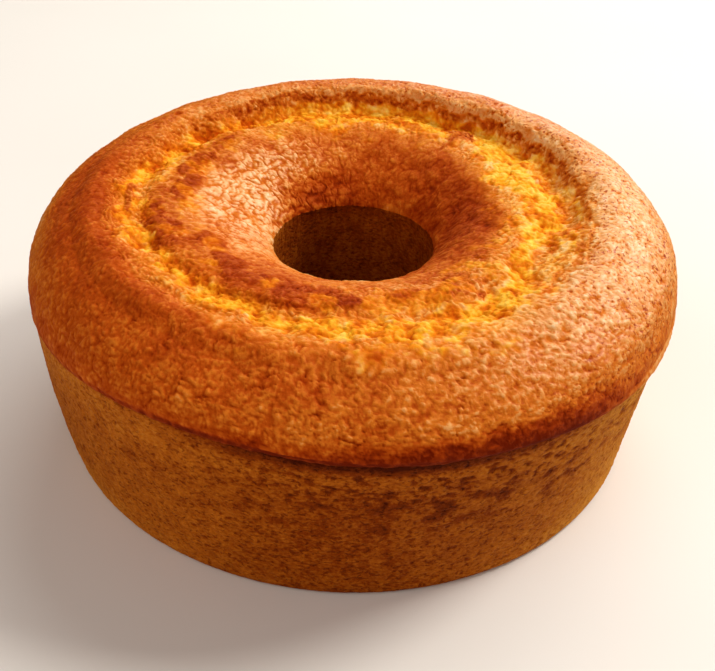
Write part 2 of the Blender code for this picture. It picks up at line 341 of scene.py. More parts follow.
# How high a point lies on its relief is a share: the middle one, and how far each kind of relief moves it.
# The colour reads it too: paler high up and darker low down, as painted highlight and painted shade.
MIDDLE_HIGH = 0.55
COBBLE_CONTRAST = 0.3
CREASE_CONTRAST = 0.4
PEBBLE_CONTRAST = 0.25
PIT_CONTRAST = 0.5
NET_CONTRAST = 0.5
FUNNEL_CONTRAST = 0.25

# ---- colours, as display values along a tone

CRUST_COLOURS = ((0.0, (236, 202, 156)), (0.2, (226, 163, 95)), (0.4, (206, 113, 29)),
                 (0.6, (175, 74, 10)), (0.8, (143, 46, 2)), (1.0, (104, 24, 0)))
CRUMB_COLOURS = ((0.0, (186, 76, 4)), (0.35, (220, 124, 12)), (0.65, (236, 166, 32)), (1.0, (246, 202, 84)))
SIDE_COLOURS = ((0.0, (208, 136, 40)), (0.35, (172, 92, 16)), (0.65, (124, 48, 0)), (1.0, (70, 16, 0)))
FLOOR_COLOURS = ((0.3, (222, 221, 218)), (0.7, (227, 226, 224)))

# ---- camera and light

CAMERA_DISTANCE = 480 * MM
CAMERA_ELEVATION = 37.70
CAMERA_PITCH_UP = 2.756
CAMERA_YAW = 0.295
CAMERA_ROLL = 1.965
LENS_MM = 58.92
SENSOR_MM = 36
CLIP_START = 10 * MM

# Each light's name, place, size across, power in watts, colour, and whether gloss shows it.
LIGHTS = (("key", (1.25, 0.5, 1.45), 0.64, 27, (1, 0.94, 0.84), True),
          ("window", (1.25, 2.17, 1.75), 4.2, 106, (1, 0.96, 0.9), True),
          ("fill", (-0.8, -1.6, 1.1), 3.4, 28, (1, 0.86, 0.76), False))
LIGHT_AIM = (0, 0, 0.06)
ROOM_COLOUR = (1, 0.86, 0.76, 1)
ROOM_STRENGTH = 0.26
FLOOR_SIZE = 16


def smooth_step(value, low, high):
    """0 below low, 1 above high, and an S curve between them."""
    share = np.clip((value - low) / (high - low), 0, 1)
    return share * share * (3 - 2 * share)


def between(value, rise, fall):
    """Comes in over the first pair of values and goes out over the second."""
    return smooth_step(value, *rise) * (1 - smooth_step(value, *fall))


def from_edge(value, edge, fade):
    """Comes in over a pair of distances from an edge."""
    return smooth_step(value, edge + fade[0], edge + fade[1])


def around(angle, values):
    """A smooth closed curve through values that stand at equal steps of the turn, starting at +X."""
    values = np.asarray(values, float)
    place = angle / math.tau % 1 * len(values)
    index = np.floor(place).astype(int) % len(values)
    share = place - np.floor(place)
    before, here, after, beyond = (values[(index + step) % len(values)] for step in (-1, 0, 1, 2))
    bend = 2 * before - 5 * here + 4 * after - beyond + share * (3 * (here - after) + beyond - before)
    return here + 0.5 * share * (after - before + share * bend)


def bumps(points, spacing, layer):
    """Smooth noise from -1 to 1 at each point. Each layer is a different one."""
    spots = np.asarray(points) / spacing + np.array([layer, 2 * layer, 3 * layer])
    return np.array([noise.noise(spot) for spot in spots.tolist()])


def cells(points, spacing, layer):
    """How far each point is from the nearest cell centre, as a share of the spacing."""
    spots = np.asarray(points) / spacing + np.array([layer, 2 * layer, 3 * layer])
    return np.array([noise.voronoi(spot)[0][0] for spot in spots.tolist()])


# ---- the form


def top_section(place, angle):
    """Radius and height of the top. The place is 0 at the hole's throat, 1 and 2 at the tear's inner and
    outer edges, and 3 at the lip."""
    funnel, tear, dome = (np.clip(place - start, 0, 1) for start in range(3))
    inner_radius = TEAR_INNER_RADIUS + around(angle, TEAR_INNER_OFFSETS) * MM
    outer_radius = TEAR_OUTER_RADIUS + around(angle, TEAR_OUTER_OFFSETS) * MM
    lip_radius = LIP_RADIUS + around(angle, LIP_OVERHANGS) * MM
    radius = THROAT_RADIUS + (inner_radius - THROAT_RADIUS) * funnel
    radius += (outer_radius - inner_radius) * tear + (lip_radius - outer_radius) * dome

    collar_height = COLLAR_HEIGHT + around(angle, COLLAR_LIFTS) * MM
    edge_height = EDGE_HEIGHT + around(angle, EDGE_LIFTS) * MM
    lip_height = LIP_HEIGHT + around(angle, LIP_LIFTS) * MM
    climb = np.sin(math.pi / 2 * funnel) ** FUNNEL_STEEPNESS
    wall_start = around(angle, WALL_STARTS)
    wall = np.clip((tear - wall_start) / (1 - wall_start), 0, 1)
    wall = wall ** 2 * (1 + 2 * EDGE_ROUNDING * (1 - wall))
    dip = np.sin(math.pi * tear) * (1 - wall)
    swell = np.sin(math.pi * np.clip(dome / CREST_WIDTH, 0, 1))
    fullness = around(angle, DOME_FULLNESS)
    fall = 1 - (1 - dome ** fullness) ** (1 / fullness)
    height = THROAT_HEIGHT + (collar_height - THROAT_HEIGHT) * climb
    height += (edge_height - collar_height) * wall - TEAR_DIP * dip
    height += CREST_SWELL * swell - (edge_height - lip_height) * fall
    return radius, height


def arc(centre, radii, start, end, steps):
    """Points of a round corner, from angle start to angle end in degrees, both ends included."""
    angles = np.radians(np.linspace(start, end, steps + 1))
    return [(centre[0] + radii[0] * math.cos(a), centre[1] + radii[1] * math.sin(a)) for a in angles]


def stretch(start, end, steps):
    """Points between start and end, without either of them."""
    return [tuple(point) for point in np.linspace(start, end, steps + 1)[1:-1]]


def average_top():
    """The top's outline as (radius, height) points before it is made uneven."""
    funnel = np.linspace(0, 1, FUNNEL_STEPS + 1) ** FUNNEL_CROWDING
    tear = np.linspace(0, 1, TEAR_STEPS + 1)[1:] + 1
    turn = np.linspace(0, 1, DOME_STEPS + 1)[1:]
    dome = DOME_SPREAD[0] * np.sin(turn * math.pi / 2) + DOME_SPREAD[1] * turn + 2
    radii = np.interp(np.concatenate([funnel, tear, dome]), range(4), TOP_RADII)
    return list(zip(radii, np.interp(radii, TOP_RADII, TOP_HEIGHTS)))


def outline():
    """The closed outline at +X as (radius, height), over the top, down the side and back up the hole, and how
    many of its points belong to the top and its rim."""
    top = average_top()
    lip = arc((SIDE_TOP_RADIUS, LIP_HEIGHT), (LIP_RADIUS - SIDE_TOP_RADIUS, LIP_HEIGHT - SIDE_HEIGHT),
              0, -90, LIP_STEPS)[1:]
    taper = math.degrees(math.atan2(SIDE_TOP_RADIUS - BASE_RADIUS, SIDE_HEIGHT))
    base_edge = arc((BASE_RADIUS - BASE_EDGE_ROUND, BASE_EDGE_ROUND), (BASE_EDGE_ROUND, BASE_EDGE_ROUND),
                    -taper, -90, CORNER_STEPS)
    hole_edge = arc((HOLE_BASE_RADIUS + HOLE_EDGE_ROUND, HOLE_EDGE_ROUND), (HOLE_EDGE_ROUND, HOLE_EDGE_ROUND),
                    -90, -180, CORNER_STEPS)
    side = stretch(lip[-1], base_edge[0], SIDE_STEPS)
    base = stretch(base_edge[-1], hole_edge[0], BASE_STEPS)
    wall = stretch(hole_edge[-1], top[0], WALL_STEPS)
    return np.array(top + lip + side + base_edge + base + hole_edge + wall), len(top + lip)


class Cake:
    """The cake's points on a grid, one row of it per point of the outline."""

    def __init__(self):
        outlined, self.top_rows = outline()
        self.rows = len(outlined)
        self.angle = np.repeat(np.arange(TURN_STEPS) * math.tau / TURN_STEPS, self.rows)
        self.turned_radius = np.tile(outlined[:, 0], TURN_STEPS)
        self.turned_height = np.tile(outlined[:, 1], TURN_STEPS)
        line = np.interp(self.turned_radius, TOP_RADII, TOP_HEIGHTS)
        self.is_top = self.turned_height > line - TOP_MARGIN
        self.place = np.where(self.is_top, np.interp(self.turned_radius, TOP_RADII, range(4)), -1)
        self.points = self.form()
        self.soften(FUNNEL_STEPS, KINK_REACHES[0])
        self.soften(FUNNEL_STEPS + TEAR_STEPS, KINK_REACHES[1])
        steps = np.linalg.norm(np.diff(self.grid(self.points), axis=1), axis=2).mean(axis=0)
        self.along = np.tile(np.concatenate([[0], np.cumsum(steps)]), TURN_STEPS)

    def form(self):
        """Where the points lie before any fine relief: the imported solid's own form."""
        angle = self.angle
        points = np.stack([self.turned_radius * np.cos(angle), self.turned_radius * np.sin(angle),
                           self.turned_height], axis=1)
        place = np.where(self.is_top, self.place, 0)
        radius, height = top_section(place, angle)
        off_hole = smooth_step(place, 0, 0.6)
        in_tear = between(place, (0.8, 1.3), (1.8, 2.1))
        by_tear = between(place, (0.4, 1.2), (2, 2.8))
        height += off_hole * bumps(points, CRUST_LUMP_SPACING, 1) * CRUST_LUMP_HEIGHT
        height += in_tear * bumps(points, CRUMB_LUMP_SPACING, 2) * CRUMB_LUMP_HEIGHT
        radius += by_tear * bumps(points * (1, 1, 0), TEAR_WANDER_SPACING, 3) * TEAR_WANDER

        up_side = np.clip(self.turned_height / SIDE_HEIGHT, 0, 1)
        outside = smooth_step(self.turned_radius, TEAR_OUTER_RADIUS, BASE_RADIUS - BASE_EDGE_ROUND)
        lip_share = outside * smooth_step(self.turned_height, SIDE_HEIGHT, LIP_HEIGHT)
        side_radius = self.turned_radius + lip_share * around(angle, LIP_OVERHANGS) * MM
        side_radius += outside * np.sin(math.pi * up_side) ** 0.5 * around(angle, SIDE_BULGES) * MM
        side_radius += outside * (1 - up_side) * around(angle, BASE_REACHES) * MM
        side_height = self.turned_height + outside * up_side ** 4 * around(angle, LIP_LIFTS) * MM

        off_base = smooth_step(self.turned_height, 0, 2 * BASE_EDGE_ROUND)
        radius = np.where(self.is_top, radius, side_radius)
        radius += off_base * bumps(points, SIDE_WAVE_SPACING, 4) * SIDE_WAVE_HEIGHT
        height = np.where(self.is_top, height, side_height)
        moved = np.stack([radius * np.cos(angle), radius * np.sin(angle), height], axis=1)
        moved[:, :2] -= (moved[:, :2].min(axis=0) + moved[:, :2].max(axis=0)) / 2
        return moved

    def soften(self, row, reach):
        """Rounds off the form's kink at a row of the grid, over as many rows each side as reach says."""
        grid = self.grid(self.points)
        first, last = row - reach, row + reach + 1
        for _ in range(2 * reach):
            grid[:, first:last] = (grid[:, first - 1:last - 1] + 2 * grid[:, first:last]
                                   + grid[:, first + 1:last + 1]) / 4

    def grid(self, values):
        """The values with one row of the array per step of the turn."""
        return values.reshape((TURN_STEPS, self.rows) + values.shape[1:])

    def normals(self):
        """The outward normal at each point, from its neighbours on the grid."""
        grid = self.grid(self.points)
        along_turn = np.roll(grid, -1, axis=0) - np.roll(grid, 1, axis=0)
        along_row = np.roll(grid, -1, axis=1) - np.roll(grid, 1, axis=1)
        normals = np.cross(along_row, along_turn).reshape(-1, 3)
        return normals / np.maximum(np.linalg.norm(normals, axis=1, keepdims=True), 1e-12)

    def outward(self, at):
        """The level direction away from the cake's axis."""
        angle = self.angle[at]
        return np.stack([np.cos(angle), np.sin(angle), 0 * angle], axis=1)

    def ring_places(self, at, spacing, stretch_by):
        """Coordinates in which noise comes out longer round the ring than along the section."""
        reach = LIP_RADIUS / (spacing * stretch_by)
        angle = self.angle[at]
        return np.stack([self.along[at] / spacing, reach * np.cos(angle), reach * np.sin(angle)], axis=1)

    def part(self, rows, values):
        """The values at some of the grid's rows."""
        taken = self.grid(values)[:, rows]
        return taken.reshape((-1,) + values.shape[1:])


def band_faces(row_count):
    """One four-sided face between each point and its neighbours, in a band that is open at its two ends."""
    index = np.arange(TURN_STEPS * row_count).reshape(TURN_STEPS, row_count)
    over = np.roll(index, -1, axis=0)
    corners = [index[:, :-1], index[:, 1:], over[:, 1:], over[:, :-1]]
    return np.stack(corners, axis=-1).reshape(-1, 4)


# ---- masks


def patches(cake, at, listed, ragged):
    """How far each point is inside any of the listed patches, and by how much they darken it."""
    share, dark = np.zeros(len(ragged)), np.zeros(len(ragged))
    degrees = np.degrees(cake.angle[at])
    for angle, place, half_width, half_length, darkness in listed:
        sideways = ((degrees - angle + 180) % 360 - 180) / half_width
        lengthways = (cake.place[at] - place) / half_length
        inside = 1 - smooth_step(np.hypot(sideways, lengthways) + ragged, *PATCH_FADE)
        share = np.maximum(share, inside)
        dark = np.maximum(dark, inside * darkness)
    return share, dark


def section_bake_and_sheen(place, angle):
    """How dark the crust is along the section; the funnel's left and crust's right are partly painted sheen.
    """
    bake_light_and_shade = np.zeros(len(place))
    for (low, before), (high, after) in zip(PLACED_BAKES_AND_SHEEN, PLACED_BAKES_AND_SHEEN[1:]):
        inside = (place >= low) & (place <= high)
        start, end = around(angle, before), around(angle, after)
        bake_light_and_shade = np.where(inside, start + (end - start) * smooth_step(place, low, high), bake_light_and_shade)
    last_place, last = PLACED_BAKES_AND_SHEEN[-1]
    return np.where(place > last_place, around(angle, last), bake_light_and_shade)


def top_masks(cake, at):
    """Where the top is open crumb, how dark it is baked, and where crust is left on it or golden by it."""
    points, place, angle = cake.points[at], cake.place[at], cake.angle[at]
    long, broad, fine = (bumps(points, spacing, 50 + layer) for layer, spacing in enumerate(RAG_SPACINGS))
    ragged = RAG_REACHES[0] * long + RAG_REACHES[1] * broad + RAG_REACHES[2] * fine
    inner, outer = around(angle, CRUMB_INNER), around(angle, CRUMB_OUTER)
    crumb = from_edge(place + ragged, inner, CRUMB_INNER_FADE)
    crumb *= 1 - from_edge(place + OUTER_RAG * ragged, outer, CRUMB_OUTER_FADE)
    golden = from_edge(place, inner, GOLDEN_INNER_FADE) * (1 - from_edge(place, outer, GOLDEN_OUTER_FADE))
    left, left_dark = patches(cake, at, CRUST_PATCHES, PATCH_RAG * broad + PATCH_RAG * fine)
    spurs, _ = patches(cake, at, CRUMB_SPURS, SPUR_RAG * broad + SPUR_RAG * fine)
    crumb = np.maximum(crumb * (1 - left), SPUR_OPENNESS * spurs)

    bake_light_and_shade = section_bake_and_sheen(place, angle)
    rim_start = around(angle, RIM_STARTS) + RIM_RAGS[0] * broad + RIM_RAGS[1] * fine
    rim = smooth_step(place, rim_start, rim_start + RIM_FADE)
    # The rim is darker: partly baked darker, partly painted shade where it turns under.
    bake_light_and_shade += rim * (around(angle, RIM_BAKES_AND_SHADE) - bake_light_and_shade)
    spots = MOTTLE_SIZES[0] * bumps(points, MOTTLE_SPACINGS[0], 59)
    spots += MOTTLE_SIZES[1] * bumps(points, MOTTLE_SPACINGS[1], 60)
    mottle = between(place, *MOTTLE_SPAN) * around(angle, MOTTLE_STRENGTHS) * spots
    crumb_shade = CRUMB_SHADE * crumb * bumps(points, CRUMB_SHADE_SPACING, 61)
    bake_light_and_shade += left_dark + MOTTLE_DARKENS * np.maximum(mottle, 0) + crumb_shade
    bake_light_and_shade = np.where(place < INNER_END, np.minimum(bake_light_and_shade, INNER_BAKE_LIMIT), bake_light_and_shade)
    crumb = np.maximum(crumb, MOTTLE_OPENNESS * smooth_step(-mottle, *MOTTLE_OPEN_FADE))
    return crumb, bake_light_and_shade - GOLDEN_LIGHTENS * golden, left, golden * (1 - left)


def torn_look(cake, at, ragged, wall, crumb, golden, bake_light_and_shade, high):
    """The crumb, bake and high masks with the tear's torn look added: streaks round it, open crumb up the
    wall as far as a brown flecked band, and calmer crust beyond the band."""
    points, place, angle = cake.points[at], cake.place[at], cake.angle[at]
    edge_strength = around(angle, TORN_EDGE_STRENGTHS)
    band_strength = np.minimum(BAND_STRENGTH * edge_strength, 1)
    past_band = ragged - around(angle, BAND_PLACES)
    band_width = around(angle, BAND_WIDTHS)
    band = (1 - smooth_step(np.abs(past_band), BAND_CORE * band_width, band_width)) * band_strength
    beyond = smooth_step(past_band, *BEYOND_FADE) * band_strength
    open_share = np.maximum(GOLDEN_OPENNESS * golden, WALL_OPENNESS * wall * edge_strength)
    open_share = np.maximum(crumb, open_share) * (1 - BAND_COVER * band) * (1 - beyond)

    fleck_places = cake.ring_places(at, TORN_FLECK_SPACING, TORN_FLECK_STRETCH)
    flecks = bumps(fleck_places, 1, 55) + 0.5 * bumps(points, 1.3 * MM, 56)
    flecks = np.maximum(flecks, TORN_FLECK_FLOOR)
    streak_places = cake.ring_places(at, STREAK_SPACING, STREAK_STRETCH)
    streaks = bumps(streak_places + 0.3 * bumps(points, 8 * MM, 62)[:, None], 1, 63)
    streaks *= between(place, *STREAK_SPAN) * around(angle, STREAK_STRENGTHS)
    orange = between(place, *ORANGE_SPAN) * around(angle, ORANGE_STRENGTHS)

    # The wall is paler at the right as painted light on its shaded face, and darker elsewhere in its own
    # tone.
    wall_tone_and_light = wall * (around(angle, WALL_TONES_AND_LIGHT) + WALL_FLECK_SHADE * edge_strength * flecks)
    bake_light_and_shade = bake_light_and_shade + (wall_tone_and_light + STREAK_SHADE * streaks + ORANGE_SHADE * orange)
    bake_light_and_shade += band * (BAND_BAKE + BAND_FLECK_SHADE * flecks - bake_light_and_shade)
    calm = beyond * (1 - band) * (1 - smooth_step(place, *CALM_END_FADE))
    bake_share, high_share = CALM_SHARES
    # Paler, evener crust beyond the band, partly painted light on the edge's shaded face.
    bake_light_and_shade += bake_share * calm * (CALM_BAKE_AND_LIGHT - bake_light_and_shade)
    high = high + high_share * calm * (CALM_HIGH - high)
    return open_share, bake_light_and_shade, high


def top_gloss(place, angle, funnel, left, high, bake_light_and_shade):
    """How glossy the top is: not at the rim, nor where it is low, dark, or crust left on the crumb."""
    gloss = funnel * around(angle, FUNNEL_GLOSS)
    gloss += smooth_step(place, *CRUST_GLOSS_FADE) * around(angle, CRUST_GLOSS)
    shown = smooth_step(high, *GLOSSY_HIGHS) * (1 - smooth_step(place, *RIM_WOBBLE_FADE))
    return gloss * (shown * (1 - smooth_step(bake_light_and_shade, *DULL_BAKES)) * (1 - left))


# ---- relief


def rounded(near):
    """A dome over each cell: 1 over its centre, and below 0 in the creases between cells."""
    return 1 - np.clip(near * 1.35, 0, 1.1) ** 2


def lumps(points, spacing, layer):
    """Rounded lumps of uneven size with narrow creases between them, from about -0.5 to 0.8."""
    return np.minimum(3 * np.abs(bumps(points, spacing, layer)), 1.3) - 0.5


def cobbles(points, spacing, layer):
    """Lumps, partly folded and partly round, from about -0.7 to 0.7."""
    domes = rounded(cells(points, 0.82 * spacing, layer + 7)) - 0.6
    return 0.5 * lumps(points, spacing, layer) + 0.8 * domes


def pits(points, spacing, layer):
    """Small round hollows that lie in loose clusters, from 1 in the middle of one to 0 outside it."""
    hollow = 1 - smooth_step(cells(points, spacing, layer), 0.12, 0.42)
    return hollow * smooth_step(bumps(points, 3 * spacing, layer + 0.5), -0.25, 0.15)


def creases(points, spacing, layer, width):
    """Thin winding lines where smooth noise passes through 0, from 1 on the line to 0 beside it."""
    return 1 - smooth_step(np.abs(bumps(points, spacing, layer)), 0.1 * width, width)


def warped(points, warp, layer):
    """The points, pushed about by smooth noise, so that a pattern laid on them comes out irregular."""
    amount, spacing = warp
    push, pull = bumps(points, spacing, layer), bumps(points[:, ::-1], spacing, layer + 0.5)
    return points + amount * np.stack([push, pull, push - pull], axis=1)


def crust_relief(cake, at):
    """The outer crust's lumps, creases and pits: its height, and how high on them each point lies."""
    points, place, angle = cake.points[at], cake.place[at], cake.angle[at]
    bent = warped(points, CRUST_WARP, 11)
    cobble = cobbles(bent, COBBLE_SPACING, 12)
    pebble = lumps(bent, PEBBLE_SPACING, 13)
    ring = cake.ring_places(at, WRINKLE_SPACING, WRINKLE_STRETCH) + 0.3 * bumps(points, 5 * MM, 14)[:, None]
    wrinkle = lumps(ring, 1, 15)
    large = cobble + (wrinkle - cobble) * (WRINKLE_SHARE * smooth_step(place, *WRINKLE_FADE))
    creased = smooth_step(bumps(points, 7 * MM, 17), -0.1, 0.35)
    crease = creases(bent, CREASE_SPACING, 16, CREASE_WIDTH) * creased
    inside = between(place, *INSIDE_SPAN)
    strength = around(angle, COBBLE_STRENGTHS)
    strength += inside * (INSIDE_COBBLES - strength)
    fine_strength = 0.5 + 0.5 * strength + 0.6 * inside
    hollow = around(angle, PIT_STRENGTHS) * pits(bent, PIT_SPACING, 18)
    height = strength * (COBBLE_HEIGHT * large - CREASE_DEPTH * crease)
    height += fine_strength * PEBBLE_HEIGHT * pebble - PIT_DEPTH * hollow
    high = MIDDLE_HIGH + strength * (COBBLE_CONTRAST * large - CREASE_CONTRAST * crease)
    high = high + PEBBLE_CONTRAST * fine_strength * pebble - PIT_CONTRAST * hollow
    return height, high


def funnel_relief(cake, at):
    """The net of creases on the slope down to the hole: its height, and how high on it each point lies."""
    points = cake.points[at]
    bent = warped(points, FUNNEL_WARP, 21)
    coarse, fine = (creases(bent, NET_SPACINGS[size], 22 + size, NET_WIDTH) for size in (0, 1))
    grain = cobbles(bent, FUNNEL_GRAIN_SPACING, 25)
    rise = bumps(points, 5 * MM, 24)
    net = 0.35 - np.maximum(coarse, FINE_NET_SHARE * fine)
    strength = around(cake.angle[at], NET_STRENGTHS)
    height = strength * NET_DEPTH * net + FUNNEL_GRAIN_HEIGHT * grain + FUNNEL_RISE * rise
    high = MIDDLE_HIGH + strength * (NET_CONTRAST * net) + FUNNEL_CONTRAST * grain + FUNNEL_CONTRAST * rise
    return height, high


def crumb_relief(cake, at):
    """Broken crumb, in soft lumps of three sizes: its height, and how high on it each point lies."""
    points = warped(cake.points[at], CRUMB_WARP, 34)
    height, high = np.zeros(len(points)), np.zeros(len(points))
    for layer, (spacing, size) in enumerate(zip(CRUMB_SPACINGS, CRUMB_HEIGHTS)):
        grain = cobbles(points, spacing, 31 + layer)
        height += size * grain
        high += size * (grain + 0.6)
    return height, high / sum(CRUMB_HEIGHTS)


def move_top(cake, at, height, ragged):
    """Moves the top's points along their normals, lifts the torn edge and draws the rim in unevenly."""
    points, place, angle = cake.points[at], cake.place[at], cake.angle[at]
    edge = between(ragged, *TORN_EDGE_SPAN) * around(angle, TORN_EDGE_STRENGTHS)
    edge *= 1 + EDGE_UNEVENNESS * bumps(points, 5 * MM, 58)
    wobble = RIM_WOBBLE * bumps(points, 7 * MM, 54) - 0.4 * RIM_WOBBLE
    wobble -= around(angle, RIM_TUCKS) * MM
    reach = smooth_step(place, *RIM_WOBBLE_FADE) * wobble - edge * TORN_EDGE_REACH
    keep = 1 - LIP_RELIEF_LOSS * smooth_step(place, *LIP_FADE)
    cake.points[at] += cake.normals()[at] * (height * keep)[:, None]
    cake.points[at] += cake.outward(at) * reach[:, None]
    cake.points[at, 2] += edge * TORN_EDGE_RISE


def relieved_top(cake, at):
    """Moves the top's points by its relief, and returns the masks that its material reads."""
    points, place, angle = cake.points[at], cake.place[at], cake.angle[at]
    crumb, bake_light_and_shade, left, golden = top_masks(cake, at)
    crust_height, crust_high = crust_relief(cake, at)
    funnel_height, funnel_high = funnel_relief(cake, at)
    crumb_height, crumb_high = crumb_relief(cake, at)

    funnel_end = around(angle, FUNNEL_ENDS)
    funnel = 1 - smooth_step(place, funnel_end, funnel_end + FUNNEL_FADE)
    collar = between(place, (funnel_end + COLLAR_GAP, funnel_end + FUNNEL_FADE), COLLAR_END_FADE)
    wall = between(place, *WALL_SPAN)
    broken = np.maximum(crumb, np.maximum(WALL_BREAKING * wall, COLLAR_BREAKING * collar))
    height = funnel * funnel_height + (1 - funnel) * crust_height
    height = height * (1 - broken) + broken * crumb_height + PATCH_RISE * left
    high = funnel * funnel_high + (1 - funnel) * crust_high
    high = high * (1 - broken) + broken * crumb_high

    ragged = place + EDGE_WANDERS[0] * bumps(points, EDGE_WANDER_SPACINGS[0], 53)
    ragged += EDGE_WANDERS[1] * bumps(points, EDGE_WANDER_SPACINGS[1], 57)
    gloss = top_gloss(place, angle, funnel, left, high, bake_light_and_shade)
    pitted = (1 - funnel) * (1 - broken) * around(angle, PIT_STRENGTHS)
    open_share, bake_light_and_shade, high = torn_look(cake, at, ragged, wall, crumb, golden, bake_light_and_shade, high)
    move_top(cake, at, height, ragged)
    return {"crumb": open_share, "bake_light_and_shade": bake_light_and_shade, "high": high, "gloss": gloss, "pitted": pitted}


def relieved_side(cake, at):
    """Moves the side's, base's and hole's points by their relief, and returns their masks."""
    points, angle = cake.points[at], cake.angle[at]
    turned_height, turned_radius = cake.turned_height[at], cake.turned_radius[at]
    over_side = (turned_height - SIDE_HEIGHT) / MM
    marks = around(angle, SIDE_MARKS)
    grain = bumps(points, 1.9 * MM, 41) + 0.7 * bumps(points, 4 * MM, 42)
    ring = cake.ring_places(at, FLECK_SPACING, FLECK_STRETCH) + 0.35 * bumps(points, 6 * MM, 45)[:, None]
    under_rim = between(over_side, *UNDER_RIM_SPAN)
    fleck = smooth_step(bumps(ring, 1, 43), 0.05, 0.4) * marks * (0.25 + 0.75 * under_rim)
    off_base = smooth_step(turned_height, 0, BASE_EDGE_ROUND)
    height = PORE_DEPTH * (grain - 0.8) - FLECK_DEPTH * fleck
    tucks, flares = around(angle, RIM_TUCKS), around(angle, SIDE_FLARES)
    flare = smooth_step(over_side, *SIDE_FLARE_FADE) * flares * MM
    flare -= smooth_step(over_side, *RIM_TUCK_FADE) * (tucks + flares) * MM
    cake.points[at] += cake.normals()[at] * (height * off_base)[:, None] + cake.outward(at) * flare[:, None]

    up = turned_height / SIDE_HEIGHT
    blotch = smooth_step(bumps(cake.ring_places(at, 4.5 * MM, 2), 1, 44), -0.05, 0.4)
    blotched = np.exp(-((up - BLOTCH_PLACE) / BLOTCH_SPREAD) ** 2)
    # Paler at the right partly as painted light.
    bake_light_and_shade = around(angle, SIDE_BAKES_AND_LIGHT) + BLOTCH_SHADE * blotched * blotch * marks + FLECK_SHADE * fleck - 0.1
    bake_light_and_shade -= UPPER_PALENESS * smooth_step(up, *UPPER_FADE)
    bake_light_and_shade += RIM_SHADE * smooth_step(over_side, *RIM_SHADOW_FADE) * around(angle, RIM_SHADOWS)
    # Paler low down, partly as painted light bounced up from the floor.
    bake_light_and_shade -= FOOT_PALING * (1 - smooth_step(up, *FOOT_FADE)) * around(angle, FOOT_PALENESS)
    # Darker on the lip: its dark crust edge, and painted shade under the lip.
    bake_light_and_shade += LIP_FOOT_CRUST_AND_SHADE * smooth_step(over_side, *LIP_FOOT_FADE)
    in_hole = 1 - smooth_step(turned_radius, HOLE_BASE_RADIUS + HOLE_EDGE_ROUND, HOLE_LOOK_RADIUS)
    bake_light_and_shade = bake_light_and_shade * (1 - in_hole) + HOLE_BAKE * in_hole
    high = 0.6 + 0.3 * grain - 0.4 * fleck
    return {"crumb": 0 * bake_light_and_shade, "bake_light_and_shade": bake_light_and_shade, "high": high, "gloss": 0 * bake_light_and_shade, "pitted": 0 * bake_light_and_shade}


def kept_in_box(points):
    """The points, with the few that the relief took past the solid's box put back on it."""
    low, high = (np.array(corner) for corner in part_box(CAKE_NODE))
    return np.clip(points, low, high)


def add_object(name, data):
    """A new object in the scene, with this data."""
    thing = bpy.data.objects.new(name, data)
    bpy.context.scene.collection.objects.link(thing)
    return thing


def mesh_piece(name, points, faces, masks):
    """A smooth mesh object that carries its masks as point attributes."""
    mesh = bpy.data.meshes.new(name)
    mesh.from_pydata(points.tolist(), [], faces.tolist())
    for title, values in masks.items():
        layer = mesh.attributes.new(title, "FLOAT", "POINT")
        layer.data.foreach_set("value", np.clip(values, 0, 1).astype(np.float32))
    mesh.shade_smooth()
    return add_object(name, mesh)


# ---- materials


def linear(red, green, blue):
    """A display colour from 0 to 255 as the linear colour that a shader takes."""
    return tuple(((c / 255 + 0.055) / 1.055) ** 2.4 if c > 10 else c / 255 / 12.92
                 for c in (red, green, blue)) + (1,)


